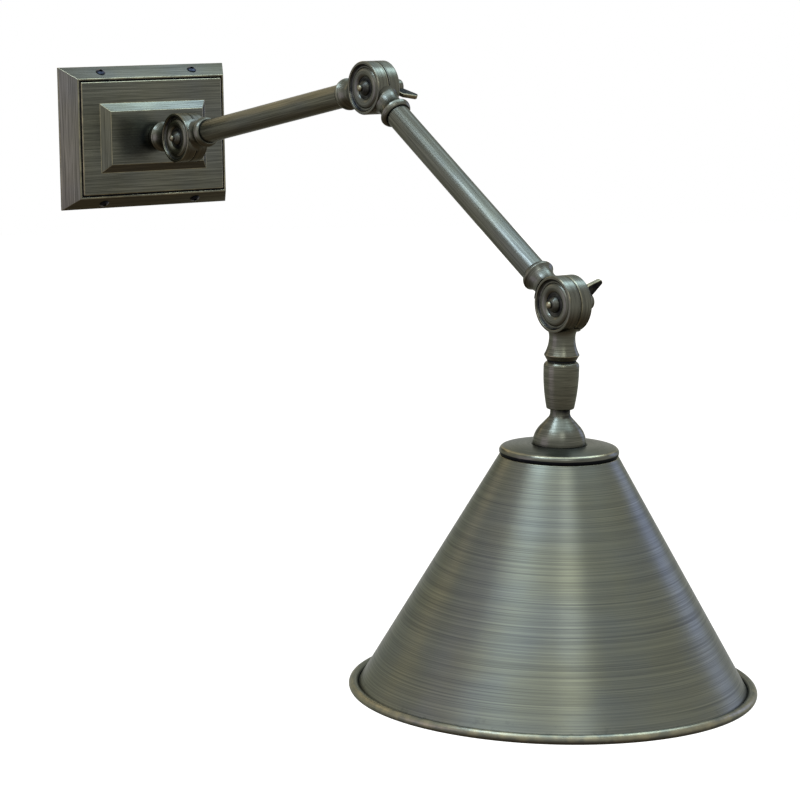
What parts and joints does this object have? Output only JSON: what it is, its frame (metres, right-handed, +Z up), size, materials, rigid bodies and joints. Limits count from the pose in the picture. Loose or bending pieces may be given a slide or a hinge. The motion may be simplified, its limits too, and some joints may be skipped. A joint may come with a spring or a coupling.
{
  "type": "articulating wall lamp",
  "caption": "Wall lamp with a rectangular wall plate, two tube arms on disc friction knuckles with thumb levers, and a wide cone shade on a turned stem.",
  "frame": {"origin": "middle of the wall bracket's back face, on the wall", "axes": "+Z up, +Y into the wall, so the lamp stands out towards -Y, +X to the right as one faces the wall"},
  "size_m": [0.254, 0.5907, 0.3965],
  "materials": {
    "bronze": "rubbed antique bronze finish with brushed lines and worn brassy edges",
    "dark_bronze": "near-black bronze finish",
    "brass": "plain machined brass",
    "zinc": "zinc plated steel",
    "green": "green plated steel",
    "fibre": "black fibre washer",
    "wire": "gold clear insulation",
    "phenolic": "dark brown moulded phenolic",
    "aluminium": "rolled aluminium screw base",
    "glass": "frosted white bulb glass"
  },
  "bodies": {
    "wall_plate": {"wall_bracket": "zinc", "ground_screw": "green", "backplate": "bronze", "plate_screws": "dark_bronze", "swivel_bush": "dark_bronze"},
    "base_swivel": {"base_nipple": "brass", "swivel_washer": "zinc", "swivel_nut": "brass", "base_knuckle": "bronze", "pivot_bolt_1": "dark_bronze", "friction_washer_1": "fibre", "base_wire": "wire"},
    "lever_1": {"lever_nut_1": "bronze"},
    "arm_1": {"lever_washer_1": "bronze", "arm_1_inner_knuckle": "bronze", "arm_1_tube": "bronze", "arm_1_outer_knuckle": "bronze", "pivot_bolt_2": "dark_bronze", "friction_washer_2": "fibre", "arm_1_wire": "wire"},
    "lever_2": {"lever_nut_2": "bronze"},
    "arm_2": {"lever_washer_2": "bronze", "arm_2_inner_knuckle": "bronze", "arm_2_tube": "bronze", "arm_2_outer_knuckle": "bronze", "lever_washer_3": "bronze", "arm_2_wire": "wire"},
    "lever_3": {"lever_nut_3": "bronze"},
    "lamp_head": {"shade_knuckle": "bronze", "pivot_bolt_3": "dark_bronze", "friction_washer_3": "fibre", "stem_nipple": "brass", "stem_barrel": "bronze", "stem_dome": "bronze", "stem_wire": "wire", "shade_cap": "bronze", "cap_spacer": "brass", "shade": "bronze", "lampholder_cap": "brass", "stem_nut": "brass", "lampholder_body": "phenolic", "lampholder_contact": "brass", "lampholder_shell": "brass", "bulb_base": "aluminium", "bulb_glass": "glass"}
  },
  "joints": [
    {"name": "base_swivel", "type": "hinge", "parent": "wall_plate", "child": "base_swivel", "pos_m": [0, -0.025, 0], "axis": [0, -1, 0], "range_deg": [-90, 90]},
    {"name": "knuckle_1", "type": "hinge", "parent": "base_swivel", "child": "arm_1", "pos_m": [0, -0.05692, 0], "axis": [-1, 0, 0], "range_deg": [-54, 65]},
    {"name": "knuckle_2", "type": "hinge", "parent": "arm_1", "child": "arm_2", "pos_m": [0, -0.28556, 0.03814], "axis": [-1, 0, 0], "range_deg": [-36, 103]},
    {"name": "knuckle_3", "type": "hinge", "parent": "arm_2", "child": "lamp_head", "pos_m": [0, -0.47809, -0.09095], "axis": [-1, 0, 0], "range_deg": [-30, 149]},
    {"name": "lever_1_turn", "type": "hinge", "parent": "base_swivel", "child": "lever_1", "pos_m": [0, -0.05692, 0], "axis": [1, 0, 0], "range_deg": [0, 180]},
    {"name": "lever_2_turn", "type": "hinge", "parent": "arm_1", "child": "lever_2", "pos_m": [0, -0.28556, 0.03814], "axis": [1, 0, 0], "range_deg": [0, 180]},
    {"name": "lever_3_turn", "type": "hinge", "parent": "lamp_head", "child": "lever_3", "pos_m": [0, -0.47809, -0.09095], "axis": [1, 0, 0], "range_deg": [0, 180]}
  ]
}
